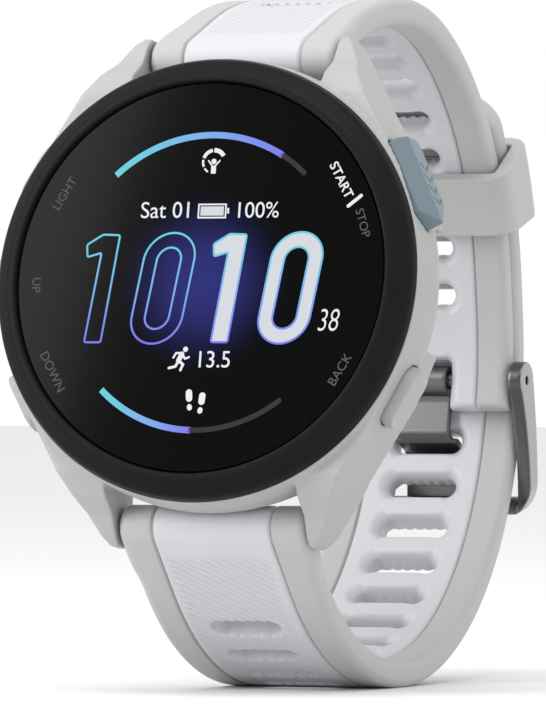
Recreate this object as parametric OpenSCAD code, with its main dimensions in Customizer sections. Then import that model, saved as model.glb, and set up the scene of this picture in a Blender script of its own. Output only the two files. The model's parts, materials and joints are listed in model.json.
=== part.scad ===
// GPS running watch, buckled into a closed loop and standing on its band.
// Pieces are drawn in the watch's own axes and then stood up by stand():
// X towards 3 o'clock, Y from the lens to the wrist, Z towards 12 o'clock,
// with the origin at the centre of the bezel's widest circle.

/* [Case] */
// Radius of the bezel's widest edge
bezel_r = 21.5; // [18:0.1:26]
// Height of the bezel's crest in front of its widest edge
bezel_rise = 1.9; // [1.2:0.1:3]
// Width of the sloping bezel face, seen from the front
bezel_face = 1.9; // [1.2:0.1:3]
// How far the case bulges past the bezel
case_bulge = 0.4; // [0.2:0.1:1]
// Distance from the bezel's widest edge to the case back
case_depth = 8.9; // [8:0.1:11]
// Wall between the buttons' pockets and the inside of the case
case_wall = 3.2; // [2.8:0.1:4]
// How far the sensor boss stands out of the case back
boss_h = 0.7; // [0.3:0.1:1.5]
// Thickness of the glass
lens_t = 1.1; // [0.8:0.1:1.6]
// Lean of the watch, backwards from upright
lean = 9.8; // [0:0.1:15]

/* [Inside] */
// Battery width, height and thickness
battery_size = [21, 19, 3.3]; // [10:0.1:26]
// Vibration motor diameter
motor_d = 7.6; // [6:0.1:9]
// Vibration motor thickness
motor_t = 2.4; // [1.8:0.1:2.6]
// Main board thickness
board_t = 0.8; // [0.6:0.1:1]

/* [Buttons] */
// Travel of each button
travel = 0.35; // [0.2:0.05:0.4]
// Length of the oval buttons, around the case
oval_l = 6.2; // [5:0.1:7.5]
// Width of the oval buttons, from front to back
oval_w = 3.3; // [2.6:0.1:4]
// Length of the start button, around the case
start_l = 9.4; // [8:0.1:10.5]
// Radius of the button stems
stem_r = 0.8; // [0.6:0.05:1]

/* [Band] */
// Gap between the lugs
lug_gap = 19.8; // [18:0.1:24]
// Distance of the spring bars beyond the bezel's edge
bar_reach = 1.4; // [1.2:0.1:2.5]
// Radius of the spring bar tubes
bar_r = 0.9; // [0.7:0.05:1.1]
// Width of the band past the lugs
band_w = 18.6; // [16:0.1:19]
// Thickness of the band
band_t = 2.7; // [2:0.1:3.4]
// Width of the soft middle of the band
core_w = 12.2; // [10:0.1:13]
// Radius of the band's middle surface where the keeper rides
keeper_arc_r = 30.1; // [25:0.1:37]
// Length of a band slot, across the band
slot_l = 7.3; // [6:0.1:8.5]
// Width of a band slot, along the band
slot_w = 2.3; // [1.8:0.1:2.8]
// Distance from slot to slot, along the band
slot_pitch = 5; // [4.5:0.01:6]

/* [Buckle and keeper] */
// Length of the keeper, along the band
keeper_l = 6.9; // [5:0.1:9]
// Wall of the keeper
keeper_wall = 1.5; // [1:0.1:2]
// Distance from the buckle pin to the crossbar
buckle_l = 11.7; // [11:0.1:14]
// Width of a buckle arm, across the band
arm_w = 1.5; // [1.2:0.1:2]
// Radius of the buckle pin
pin_r = 0.75; // [0.6:0.05:0.9]

/* [Hidden] */
$fn = 96;

// Clearances
run_fit = 0.05;     // a pin or stem turning or sliding in its bore
slip = 0.15;        // a piece that slides past another
seat = 0.02;        // pieces that lie on each other

// Head: radii from the bezel inwards, and stations along Y
crest_r = bezel_r - bezel_face;
glass_r = crest_r - 0.65;
case_r = bezel_r + case_bulge;
hall_r = case_r - case_wall - 0.3;      // front hollow of the case
rear_hall_r = hall_r - 1.5;             // rear hollow, behind a step
ledge_r = glass_r - 1.35;               // opening in the bezel behind the glass
lid_r = rear_hall_r + 1.3;              // caseback plate
bezel_y = 0.5;                          // back face of the bezel
glass_y = -bezel_rise + 0.4;
ledge_y = glass_y + lens_t + 0.12;
display_t = 1.2;
plate_y = ledge_y + display_t + 0.1;    // front of the mid frame's plate
plate_t = 0.6;
board_y = plate_y + plate_t;
step_y = case_depth - 3.3;              // step between the two hollows
lid_t = 1.4;
lid_y = case_depth - lid_t;
boss_r = 9;
window_r = 7.2;
window_y = case_depth + boss_h;
board_r = hall_r - 1.1;
post_at = rear_hall_r - 1.4;            // screw posts
post_r = 1.5;
screw_angles = [35, 145, 215, 325];

// Buttons: angle around the case, from 3 o'clock towards 12
start_a = 26;
oval_angles = [-29, 150, 180, 210];
pocket_floor = case_r - 1.4;
cap_bottom = pocket_floor + travel + 0.05;
oval_y = step_y - stem_r - 0.5;
start_y = 3.9;
start_w = 5.4;
oval_top = case_r + 1.1;
start_top = case_r + 1.2;

// Lugs and spring bars
bar_y = case_depth - 1.5;
bar_z = bezel_r + bar_reach;
lug_in = lug_gap / 2;
lug_tip_z = bar_z + 2;
lug_a = 30;                             // where the lugs leave the round case
knuckle_r = band_t / 2 + 0.85;
knuckle_w = lug_gap - 0.4;
tip_r = bar_r - 0.5;

function dir(h) = [cos(h), sin(h)];
function out(h) = [-sin(h), cos(h)];
function det(u, v) = u.x * v.y - u.y * v.x;
function flip(p) = [p.x, -p.y];
// The a and b for which a * u + b * v = w
function mix(u, v, w) = [det(w, v) / det(u, v), det(u, w) / det(u, v)];
function arc_len(r, turn) = r * turn * PI / 180;

// A band's middle line is a list of stretches in the YZ plane: [start, heading, radius, length].
// Every arc bends towards the wrist, and a radius of 0 is a straight stretch.
function turned(s) = s[2] == 0 ? 0 : s[3] / s[2] * 180 / PI;
function centre(s) = s[0] - s[2] * out(s[1]);
function point(s, t) = s[2] == 0 ? s[0] + t * dir(s[1])
    : centre(s) + s[2] * out(s[1] - t / s[2] * 180 / PI);
function heading(s, t) = s[2] == 0 ? s[1] : s[1] - t / s[2] * 180 / PI;
function grow(line, r, len) = let (s = line[len(line) - 1])
    concat(line, [[point(s, s[3]), heading(s, s[3]), r, len]]);
function trace(line, steps, i = 0) = i == len(steps) ? line
    : trace(grow(line, steps[i][0], steps[i][1]), steps, i + 1);
// [point, heading] at a distance t along a line
function at(line, t, i = 0) = t <= line[i][3] || i == len(line) - 1
    ? [point(line[i], t), heading(line[i], t)] : at(line, t - line[i][3], i + 1);
function total(line, i = 0) = i == len(line) ? 0 : line[i][3] + total(line, i + 1);

// Upper band, from the lug over the top to the buckle
bar = [bar_y, bar_z];
lift = knuckle_r - band_t / 2 - 0.05;   // keeps the band from meeting the knuckle at a tangent
up_h = 30;                              // heading at the lug
tuck_h = 16.4;                          // lean of the buckle end, from upright
upper_start = [bar + lift * out(up_h), up_h, 0, 6.2];
top_turns = [21, 24.2];                 // bends of the first two arcs
keeper_from = up_h - top_turns[0] - top_turns[1];
upper_top = trace([upper_start], [
    [keeper_arc_r + 9, arc_len(keeper_arc_r + 9, top_turns[0])],
    [keeper_arc_r - 5.4, arc_len(keeper_arc_r - 5.4, top_turns[1])],
    [keeper_arc_r, arc_len(keeper_arc_r, 90 - tuck_h + keeper_from)]]);
hub = centre(upper_top[3]);             // centre that the keeper swings about

// Lower band, drawn with Z upside down, from the lug under the wrist to the tip. It runs
// outside the upper band under the keeper, about the same centre.
layer_gap = 0.35;
tail_r = keeper_arc_r + band_t + layer_gap;
low_h = 37;
chin_h = 17;                            // heading where the long arc starts
chin_r = 27.7;
tail_h = -(90 + tuck_h);
rise = 3.7;                             // straight stretch below the keeper
lower_p = bar + lift * out(low_h);
tail_start = flip(hub) + tail_r * out(tail_h);
lower_mix = mix(dir(low_h), out(tail_h) - out(chin_h),
    tail_start - lower_p - chin_r * (out(chin_h) - out(low_h)) - rise * dir(tail_h));
sole_r = lower_mix.y;                   // the long arc under the wrist
tip_l = 5.5;
lower = trace([[lower_p, low_h, 0, lower_mix.x]], [
    [chin_r, arc_len(chin_r, low_h - chin_h)],
    [sole_r, arc_len(sole_r, chin_h - tail_h)],
    [0, rise],
    [tail_r, arc_len(tail_r, 37)]]);
lower_l = total(lower);

// The upper band's end lies inside the lower band, along the same bends
under_r = sole_r - band_t - layer_gap;
end_l = 13.3;
upper = trace(upper_top, [[0, rise], [under_r, end_l - rise]]);
upper_l = total(upper);
core_stop = tip_l + 2.5;                // rail material past the end of the core

// Buckle: the pin sits in the end of the upper band
pin_back = 3;                           // from the band's end to the pin
pin = at(upper, upper_l - pin_back)[0];
pin_l = lower_mix.x + arc_len(chin_r, low_h - chin_h) + arc_len(sole_r, chin_h - tail_h)
    - (end_l - rise - pin_back) * sole_r / under_r;
eye_r = pin_r + 1.15;
arm_in = band_w / 2 + 0.35;
crossbar_r = 0.95;
tongue_neck = 5.4;
notch_w = tongue_neck + 0.8;
curl_r = eye_r - 0.35;                  // the tongue's curl round the pin
tongue_t = 0.7;
tongue_w = slot_l - 0.9;
tongue_reach = 6.4;                     // from the pin to the slot, along the lower band

// Slots: the tongue passes through one of the lower band's, and the rest follow from it
tongue_slot = pin_l - tongue_reach;
// A point of the lower band, shifted along it and outwards from its middle
function near_slot(along, out_by) = let (p = at(lower, tongue_slot - along))
    flip(p[0] + out_by * out(p[1]));
bar_gap = 0.5;                          // from the band to the crossbar
crossbar = near_slot(buckle_l - tongue_reach, band_t / 2 + bar_gap + crossbar_r);
frame_h = atan2(crossbar.y - pin.y, crossbar.x - pin.x);
frame_l = norm(crossbar - pin);
lower_slots = [for (k = [-12:5]) tongue_slot + k * slot_pitch];
upper_slots = [for (k = [0:10]) upper_l - end_l + 1.5 - k * slot_pitch];

// Keeper: its middle, as an angle from straight up at the hub
keeper_at = 57;
keeper_turn = keeper_l / keeper_arc_r * 180 / PI;
keeper_in = keeper_arc_r - band_t / 2 - slip;
keeper_out = tail_r + band_t / 2 + slip;
keeper_half = band_w / 2 + 0.25;

// Standing: the sole's lowest point is the floor, and the origin is under the middle
sole_c = flip(centre(lower[2]));
floor_z = -sole_c.x * sin(lean) + sole_c.y * cos(lean) - sole_r - band_t / 2;
front_y = -bezel_rise * cos(lean) - crest_r * sin(lean);
keeper_low = hub + (keeper_out + keeper_wall) * [sin(keeper_at + keeper_turn / 2),
    cos(keeper_at + keeper_turn / 2)];
back_y = keeper_low.x * cos(lean) + keeper_low.y * sin(lean);
module stand() {
    translate([0, -(front_y + back_y) / 2, -floor_z]) rotate([-lean, 0, 0]) children();
}

// Turns a [radius, depth] outline around the watch's axis
module turn_y() {
    rotate([-90, 0, 0]) rotate_extrude() children();
}
// A disc or ring around the watch's axis
module disc(r, y, t) {
    translate([0, y, 0]) rotate([-90, 0, 0]) cylinder(h = t, r = r);
}
// Extrudes a YZ outline along X, centred
module across(w) {
    rotate([90, 0, 90]) linear_extrude(w, center = true) children();
}
// A round bar along X, centred at a point of the YZ plane
module rod(p, r, w, x = 0) {
    translate([x, p.x, p.y]) rotate([0, 90, 0]) cylinder(h = w, r = r, center = true);
}
// Puts children at an angle around the case, with X pointing outwards
module around(a) {
    rotate([0, -a, 0]) children();
}
// A round bar pointing outwards from the watch's axis, between two radii
module spoke(r, from, to, y) {
    translate([from, y, 0]) rotate([0, 90, 0]) cylinder(h = to - from, r = r);
}
// An upright oval block between two radii
module oval(l, w, from, to, y) {
    translate([from, y, 0]) {
        translate([0, -w / 2, -(l - w) / 2]) cube([to - from, w, l - w]);
        for (s = [-1, 1]) translate([0, 0, s * (l - w) / 2]) rotate([0, 90, 0])
            cylinder(h = to - from, d = w);
    }
}
// The start button's outline, from front to back and around the case
module start_outline(grow) {
    h = start_l / 2 + grow;
    w = start_w / 2 + grow;
    polygon([[-w, -h + 1.6], [-w, h - 0.4], [-w + 0.8, h], [w - 1.2, h], [w, h - 1.4],
             [w, -h + 3.2], [-start_w / 2 + 2, -h]]);
}
module start_block(grow, from, to) {
    translate([from, start_y, 0]) rotate([90, 0, 90]) linear_extrude(to - from)
        start_outline(grow);
}

// Case body: a round shell with four lugs, pockets and bores for the buttons
module lug_plan() {
    base = case_r * dir(lug_a);
    reach = (lug_tip_z - 0.9 - base.y) / cos(lug_a);
    corner = base + reach * out(lug_a);
    polygon([[lug_in, 8], [lug_in, lug_tip_z], [corner.x - 0.7, lug_tip_z], corner, base,
             case_r * dir(12)]);
}
module lug_side() {
    polygon([[bezel_y + 0.2, 6], [bezel_y + 0.5, bezel_r - 3], [2.4, bezel_r - 0.9],
             [bar_y - 3, bezel_r + 0.6], [bar_y - 1.9, bar_z + 1.2], [bar_y - 1, lug_tip_z],
             [bar_y + 1, lug_tip_z], [bar_y + 2, bar_z + 0.8], [bar_y + 2, bezel_r - 2],
             [case_depth, bezel_r - 3.5], [case_depth, 6]]);
}
module lugs() {
    for (s = [-1, 1], m = [0, 1]) mirror([m, 0, 0])
        mirror([0, 0, s < 0 ? 1 : 0]) intersection() {
            rotate([90, 0, 0]) mirror([0, 0, 1]) linear_extrude(case_depth + 2) lug_plan();
            rotate([90, 0, 90]) linear_extrude(case_r) lug_side();
        }
}
module case_body() {
    color("gainsboro") stand() difference() {
        union() {
            turn_y() polygon([[0, bezel_y], [bezel_r + 0.1, bezel_y], [case_r - 0.15, 1.4],
                [case_r, 2.8], [case_r, 5], [case_r - 0.35, 6.4], [case_r - 1.1, 7.6],
                [case_r - 2.2, case_depth - 0.4], [case_r - 3, case_depth], [0, case_depth]]);
            lugs();
        }
        disc(hall_r, -1, step_y + 1);
        difference() {
            disc(rear_hall_r, 1, case_depth);
            for (a = screw_angles) around(a) post_block();
        }
        disc(lid_r + slip / 2, lid_y, 3);
        for (a = screw_angles) around(a) translate([post_at, lid_y - 1.75, 0])
            rotate([-90, 0, 0]) cylinder(h = 3, r = 0.55);
        gasket_groove();
        for (s = [-1, 1]) rod([bar_y, s * bar_z], knuckle_r + 0.35, lug_gap);
        for (s = [-1, 1]) rod([bar_y, s * bar_z], tip_r + run_fit, lug_gap + 2.4);
        for (a = oval_angles) around(a) {
            oval(oval_l + 0.24, oval_w + 0.24, pocket_floor, case_r + 2, oval_y);
            stem_bore(oval_y);
        }
        around(start_a) {
            start_block(slip, pocket_floor, case_r + 3);
            stem_bore(start_y);
        }
    }
}
module post_block() {
    translate([post_at, step_y, 0]) rotate([-90, 0, 0])
        cylinder(h = lid_y - step_y, r = post_r);
    translate([post_at, step_y, -post_r]) cube([3, lid_y - step_y, 2 * post_r]);
}
module gasket_groove() {
    turn_y() translate([rear_hall_r + 0.45, lid_y - 0.6]) square([0.7, 0.7]);
}
module stem_bore(y) {
    spoke(stem_r + run_fit, hall_r - 1, case_r, y);
    spoke(stem_r + 0.6, hall_r + 0.6, hall_r + 1.2, y);
}

// Bezel: a ring with a sloping face that holds the glass
module bezel() {
    color("dimgray") stand() difference() {
        turn_y() polygon([[ledge_r, ledge_y], [glass_r + 0.06, ledge_y],
            [glass_r + 0.06, glass_y], [crest_r - 0.1, -bezel_rise + 0.04], [crest_r, -bezel_rise],
            [bezel_r - 0.33, -0.85], [bezel_r, 0], [bezel_r, bezel_y], [ledge_r, bezel_y]]);
        turn_y() translate([hall_r + 0.4, 0.1]) square([1, 1]);
    }
}
module lens() {
    color("black") stand() turn_y() polygon([[0, glass_y], [glass_r - 0.25, glass_y],
        [glass_r, glass_y + 0.25], [glass_r, glass_y + lens_t], [0, glass_y + lens_t]]);
}
module lens_seal() {
    color("black") stand() turn_y() translate([ledge_r + 0.1, glass_y + lens_t])
        square([1.1, 0.12]);
}
module display() {
    color("midnightblue") stand() disc(ledge_r - 0.3, glass_y + lens_t, display_t);
}
module antenna_ring() {
    color("goldenrod") stand() turn_y() translate([hall_r + 0.5, 0.12])
        square([0.8, bezel_y - 0.12]);
}

// Mid frame: a cup that carries the display in front and the board behind
module mid_frame() {
    skirt_r = hall_r - 0.05;
    color("darkslategray") stand() difference() {
        union() {
            disc(skirt_r, plate_y, plate_t);
            difference() {
                disc(skirt_r, plate_y, step_y - plate_y);
                disc(skirt_r - 0.75, plate_y - 1, step_y);
            }
        }
        for (a = oval_angles) around(a) spoke(stem_r + 1, hall_r - 2, hall_r + 1, oval_y);
        around(start_a) spoke(stem_r + 1, hall_r - 2, hall_r + 1, start_y);
        translate([-3, plate_y - 1, -board_r + 1.5]) cube([6, 3, 1.2]);
    }
}
module main_board() {
    color("darkgreen") stand() difference() {
        disc(board_r, board_y, board_t);
        translate([-4, board_y - 1, -board_r - 1]) cube([8, 3, 3]);
        for (a = [35, 215]) around(a) translate([board_r - 1.4, board_y - 1, 0])
            rotate([-90, 0, 0]) cylinder(h = 3, r = 0.5);
    }
}
module shield_cans() {
    y = board_y + board_t;
    color("silver") stand() {
        translate([-11.2, y, 9]) cube([6.4, 1.1, 3.2]);
        translate([4.8, y, 9]) cube([6.4, 1.1, 3.2]);
        translate([-14.6, y, -5]) cube([3, 1.1, 9]);
    }
}
module battery() {
    s = battery_size;
    color("lightsteelblue") stand() translate([-s.x / 2, board_y + board_t, -s.y / 2 - 1.4])
        cube([s.x, s.z, s.y]);
}
module vibration_motor() {
    color("silver") stand() translate([0, 0, battery_size.y / 2 + motor_d / 2 - 1])
        disc(motor_d / 2, board_y + board_t, motor_t);
}
module buzzer() {
    color("tan") stand() translate([0, 0, rear_hall_r - 4.4]) disc(3.6, lid_y - 0.7, 0.7);
}
module side_switches() {
    color("black") stand() {
        for (a = concat(oval_angles, [start_a])) around(a) switch_block();
    }
}
module switch_block() {
    from = board_y + board_t;
    translate([hall_r - 3.1, from, -1.2]) cube([1.2, step_y - 0.1 - from, 2.4]);
}
module sensor_board() {
    color("darkgreen") stand() disc(window_r - 0.7, lid_y - 0.5, 0.6);
}
module sensor_lights() {
    color("lime") stand() for (a = [0:60:300]) around(a)
        translate([a % 120 == 0 ? 2.2 : 4.2, lid_y + 0.1, -0.7]) cube([1.4, 0.5, 1.4]);
}
module sensor_window() {
    color("black") stand() turn_y() polygon([[0, lid_y + 0.9], [window_r, lid_y + 0.9],
        [window_r, window_y], [window_r - 0.5, window_y + 0.25], [0, window_y + 0.25]]);
}

// Charging socket: a plastic block with four sprung contacts, in the case back
socket_z = -12.4;
module charge_socket() {
    color("dimgray") stand() difference() {
        translate([-4.4, lid_y - 0.9, socket_z - 1.7]) cube([8.8, 1.9, 3.4]);
        for (x = [-2.7:1.8:2.7]) translate([x, lid_y - 2, socket_z]) rotate([-90, 0, 0])
            cylinder(h = 4, r = 0.45);
    }
}
module charge_pins() {
    color("gold") stand() for (x = [-2.7:1.8:2.7]) translate([x, lid_y - 1.2, socket_z])
        rotate([-90, 0, 0]) cylinder(h = 2.35, r = 0.45);
}
module caseback() {
    color("dimgray") stand() difference() {
        turn_y() polygon([[0, lid_y], [lid_r, lid_y], [lid_r, case_depth - 0.3],
            [lid_r - 0.3, case_depth], [boss_r + 1, case_depth], [boss_r, window_y], [0, window_y]]);
        disc(window_r + seat, lid_y + 0.9, 3);
        disc(window_r - 0.5, lid_y - 1, 3);
        translate([-4.4 - seat, lid_y - 1, socket_z - 1.7 - seat])
            cube([8.8 + 2 * seat, 4, 3.4 + 2 * seat]);
        for (a = screw_angles) around(a) translate([post_at, lid_y - 1, 0])
            rotate([-90, 0, 0]) {
                cylinder(h = 4, r = 0.75);
                translate([0, 0, 1.6]) cylinder(h = 3, r = 1.25);
            }
    }
}
module caseback_gasket() {
    color("black") stand() turn_y() translate([rear_hall_r + 0.8, lid_y - 0.3]) circle(0.29);
}
module caseback_screws() {
    color("silver") stand() for (a = screw_angles) around(a) translate([post_at, 0, 0])
        difference() {
            union() {
                disc(1.2, lid_y + 0.6, 0.7);
                disc(0.54, lid_y - 1.7, 2.4);
            }
            translate([0, lid_y + 1, 0]) rotate([-90, 0, 0]) cylinder(h = 1, r = 0.5, $fn = 6);
        }
}

// Buttons: a moulded cap on a steel stem, which a collar stops from inside
module oval_cap(a) {
    stand() around(a) difference() {
        oval(oval_l, oval_w, cap_bottom, oval_top, oval_y);
        spoke(0.5, cap_bottom - 1, cap_bottom + 0.7, oval_y);
    }
}
module stem(a, y) {
    color("silver") stand() around(a) {
        spoke(stem_r, hall_r - 1.4, cap_bottom, y);
        spoke(stem_r + 0.4, hall_r - 0.6, hall_r - 0.1, y);
        spoke(0.5, cap_bottom - 0.2, cap_bottom + 0.7, y);
    }
}
module start_button() {
    color("lightsteelblue") stand() around(start_a) difference() {
        intersection() {
            start_block(0, cap_bottom, start_top);
            linear_extrude(2 * start_l, center = true) start_side();
        }
        spoke(0.5, cap_bottom - 1, cap_bottom + 0.7, start_y);
        for (z = [-2.4:1.2:1.2]) translate([start_top - 0.15, start_y + 0.6, z])
            chevron();
    }
}
// The start button's section: a sloping front face up to a ridge
module start_side() {
    front = start_y - start_w / 2 - 1;
    back = start_y + start_w / 2 + 1;
    polygon([[cap_bottom - 1, front], [case_r - 0.7, front], [start_top, start_y - 0.9],
             [start_top, back - 1.7], [start_top - 1.7, back], [cap_bottom - 1, back]]);
}
// A shallow arrow mark that points up the case
module chevron() {
    for (s = [-1, 1]) rotate([s * 35, 0, 0]) translate([0, s > 0 ? 0 : -1.3, -0.12])
        cube([1, 1.3, 0.24]);
}
module start_stem() { stem(start_a, start_y); }
module back_button() { color("gainsboro") oval_cap(oval_angles[0]); }
module back_stem() { stem(oval_angles[0], oval_y); }
module light_button() { color("gainsboro") oval_cap(oval_angles[1]); }
module light_stem() { stem(oval_angles[1], oval_y); }
module up_button() { color("gainsboro") oval_cap(oval_angles[2]); }
module up_stem() { stem(oval_angles[2], oval_y); }
module down_button() { color("gainsboro") oval_cap(oval_angles[3]); }
module down_stem() { stem(oval_angles[3], oval_y); }
module button_seals() {
    color("black") stand() {
        for (a = oval_angles) around(a) seal_ring(oval_y);
        around(start_a) seal_ring(start_y);
    }
}
module seal_ring(y) {
    translate([hall_r + 0.9, y, 0]) rotate([0, 90, 0]) rotate_extrude($fn = 48)
        translate([stem_r + 0.3, 0]) circle(0.28, $fn = 24);
}

// Spring bar: a tube with one fixed tip, and a plunger with a thumb lever
lever_x = 6.3;
plunger_travel = 1.1;
module bar_tube() {
    difference() {
        union() {
            rod([0, 0], bar_r, knuckle_w - 0.6);
            rod([0, 0], tip_r, 2, -knuckle_w / 2 - 0.2);
        }
        rod([0, 0], bar_r - 0.35, 13, knuckle_w / 2 - 3.5);
        translate([lever_x - plunger_travel - 0.6, 0, -0.4]) cube([plunger_travel + 1.2, 3, 0.8]);
    }
}
module bar_plunger() {
    len = knuckle_w / 2 + 1.1 - 4.6;
    rod([0, 0], bar_r - 0.4, len - 1.3, 4.6 + (len - 1.3) / 2);
    rod([0, 0], tip_r, 3, knuckle_w / 2 - 0.4);
    translate([lever_x, 0, 0]) rotate([-90, 0, 0]) cylinder(h = 3, r = 0.35);
}
module upper_bar() { color("silver") stand() translate([0, bar_y, bar_z]) bar_tube(); }
module upper_bar_plunger() { color("silver") stand() translate([0, bar_y, bar_z]) bar_plunger(); }
module lower_bar() { color("silver") stand() translate([0, bar_y, -bar_z]) bar_tube(); }
module lower_bar_plunger() {
    color("silver") stand() translate([0, bar_y, -bar_z]) bar_plunger();
}

// Band: children are the section, with x out from the wrist and y across the band
module stretch(s, from, to) {
    if (s[2] == 0) {
        p = point(s, from);
        translate([0, p.x, p.y]) rotate([s[1], 0, 0]) rotate(-120, [1, 1, 1])
            linear_extrude(to - from) children();
    } else {
        c = centre(s);
        translate([0, c.x, c.y]) rotate([heading(s, to) + 90, 0, 0]) rotate([90, 0, 90])
            rotate_extrude(angle = (to - from) / s[2] * 180 / PI, $fn = 180)
                translate([s[2], 0]) children();
    }
}
// Every other stretch is a hair slimmer and runs a little way into its neighbours, so that
// the stretches join as one solid.
hair = 0.01;
joint = 0.3;
module sweep(line, rails, stop = 0) {
    last = len(line) - 1;
    for (i = [0:last]) let (odd = i % 2)
        stretch(line[i], odd ? -joint : 0,
            line[i][3] - (i == last ? stop : 0) + (odd && i < last ? joint : 0)) {
            if (rails) rail_section(odd * hair);
            if (!rails) square([band_t, core_w] - odd * [2 * hair, 2 * hair], center = true);
        }
}
rail_round = 0.9;
module rail_section(s) {
    w = (band_w - core_w) / 2;
    r = rail_round;
    for (m = [0, 1]) mirror([0, m]) translate([0, core_w / 2 + s]) {
        translate([-band_t / 2 + s, 0]) square([band_t - 2 * s, w - r - s]);
        translate([-band_t / 2 + r, 0]) square([band_t - 2 * r, w - 2 * s]);
        for (t = [-1, 1]) translate([t * (band_t / 2 - r), w - r - s]) circle(r - s, $fn = 32);
    }
}
// The whole band's section, for its tip
module tip_section() {
    w = band_w / 2;
    r = rail_round;
    square([band_t + 2 * hair, 2 * (w - r)], center = true);
    square([band_t - 2 * r, 2 * (w + hair)], center = true);
    for (t = [-1, 1], m = [-1, 1]) translate([t * (band_t / 2 - r), m * (w - r)])
        circle(r + hair, $fn = 32);
}
// The band's thick end round the spring bar, as a YZ outline
module knuckle(h, line) {
    p = at(line, 5);
    r = knuckle_r - 0.1;
    t = band_t / 2 - 0.05;
    translate(bar) circle(knuckle_r);
    polygon([bar + r * out(h), bar - r * out(h), p[0] - t * out(p[1]), p[0] + t * out(p[1])]);
}
module slots(line, places) {
    for (t = places) {
        p = at(line, t);
        translate([0, p[0].x, p[0].y]) rotate([p[1], 0, 0]) {
            cube([slot_l - slot_w, slot_w, 2 * band_t], center = true);
            for (s = [-1, 1]) translate([s * (slot_l - slot_w) / 2, 0, 0])
                cylinder(h = 2 * band_t, d = slot_w, center = true, $fn = 48);
        }
    }
}
module lever_window() {
    translate([lever_x - plunger_travel - 0.7, bar_y - 0.2, bar_z - 0.7])
        cube([plunger_travel + 1.6, knuckle_r + 1, 1.4]);
}
module core_body(line, h, places, stop) {
    difference() {
        union() {
            sweep(line, false, stop);
            across(core_w - 4 * hair) knuckle(h, line);
        }
        rod(bar, bar_r + run_fit, 2 * knuckle_w);
        slots(line, places);
        lever_window();
    }
}
module rail_body(line, h, stop) {
    difference() {
        union() {
            sweep(line, true, stop);
            for (s = [-1, 1]) translate([s * (knuckle_w + core_w + 4 * hair) / 4, 0, 0])
                across((knuckle_w - core_w - 4 * hair) / 2) knuckle(h, line);
        }
        rod(bar, bar_r + run_fit, 2 * knuckle_w);
        lever_window();
    }
}
module pin_bore() {
    rod(pin, pin_r + run_fit, 2 * band_w);
}
module upper_band_core() {
    color("whitesmoke") stand() difference() {
        core_body(upper, up_h, upper_slots, 0);
        pin_bore();
        translate([0, pin.x, pin.y]) rotate([-90 + tuck_h, 0, 0])
            translate([-notch_w / 2, -curl_r - 0.5, -6]) cube([notch_w, 12, 12]);
    }
}
module upper_band_rails() {
    color("gainsboro") stand() difference() {
        rail_body(upper, up_h, 0);
        pin_bore();
    }
}
module lower_band_core() {
    color("whitesmoke") stand() mirror([0, 0, 1])
        core_body(lower, low_h, lower_slots, core_stop);
}
module lower_band_rails() {
    s = lower[len(lower) - 1];
    p = at(lower, lower_l - tip_l);
    color("gainsboro") stand() mirror([0, 0, 1]) {
        rail_body(lower, low_h, core_stop - joint);
        intersection() {
            stretch(s, s[3] - core_stop, s[3] + 1) tip_section();
            translate([0, p[0].x, p[0].y]) rotate([p[1], 0, 0])
                linear_extrude(4 * band_t, center = true) tip_plan();
        }
    }
}
// The rounded tip, seen square to the band
module tip_plan() {
    w = band_w / 2 + 0.2;
    translate([-w, -core_stop - 2]) square([2 * w, core_stop + 2]);
    intersection() {
        scale([1, tip_l / w]) circle(w);
        translate([-w, -0.1]) square([2 * w, 2 * w]);
    }
}

// Keeper: a soft sleeve round both layers of the band
module keeper() {
    w = keeper_half + keeper_wall;
    r = 2.2;
    from = keeper_in - keeper_wall;
    to = keeper_out + keeper_wall;
    color("gainsboro") stand() translate([0, hub.x, hub.y])
        rotate([90 - keeper_at - keeper_turn / 2, 0, 0]) rotate([90, 0, 90])
            rotate_extrude(angle = keeper_turn, $fn = 180) difference() {
                union() {
                    translate([from, -w + r]) square([to - from, 2 * (w - r)]);
                    translate([from + r, -w]) square([to - from - 2 * r, 2 * w]);
                    for (x = [from + r, to - r], s = [-1, 1]) translate([x, s * (w - r)])
                        circle(r, $fn = 48);
                }
                translate([keeper_in, -keeper_half])
                    square([keeper_out - keeper_in, 2 * keeper_half]);
            }
}

// Buckle: a bent frame and a broad tongue on one spring bar
module buckle_pin() {
    color("silver") stand() {
        rod(pin, pin_r, 2 * arm_in - 0.1);
        rod(pin, 0.4, 2 * (arm_in + arm_w) - 0.8);
    }
}
// An arm's side: an eye round the pin, tapering along a bow to the crossbar
function arm_line(t) = pin + t * frame_l * dir(frame_h) + 2.4 * t * (1 - t) * out(frame_h);
function arm_half(t) = crossbar_r + 0.1 + (eye_r - crossbar_r - 0.15) * pow(1 - t, 2);
module arm_side() {
    translate(pin) circle(eye_r);
    translate(crossbar) circle(crossbar_r + 0.2);
    polygon([for (s = [1, -1], i = [0:10]) let (t = s > 0 ? i / 10 : 1 - i / 10)
        arm_line(t) + s * arm_half(t) * out(frame_h)]);
}
// The frame's outline, square to its length: the arms turn into the crossbar at round corners
module frame_plan() {
    r = 3.4;
    w = arm_in + arm_w - r;
    end = frame_l + crossbar_r + 0.25 - r;
    polygon(concat([[-w - r, -8], [w + r, -8]],
        [for (s = [1, -1], i = [0:8]) let (a = s > 0 ? 90 * i / 8 : 90 + 90 * i / 8)
            [s * w + r * cos(a), end + r * sin(a)]]));
}
module buckle_frame() {
    color("slategray") stand() difference() {
        intersection() {
            union() {
                for (s = [-1, 1]) translate([s * (arm_in + arm_w / 2), 0, 0])
                    across(arm_w) arm_side();
                rod(crossbar, crossbar_r, 2 * arm_in + 0.4);
            }
            translate([0, pin.x, pin.y]) rotate([frame_h, 0, 0])
                linear_extrude(12, center = true) frame_plan();
        }
        rod(pin, 0.4 + run_fit, 4 * arm_in);
    }
}
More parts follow.
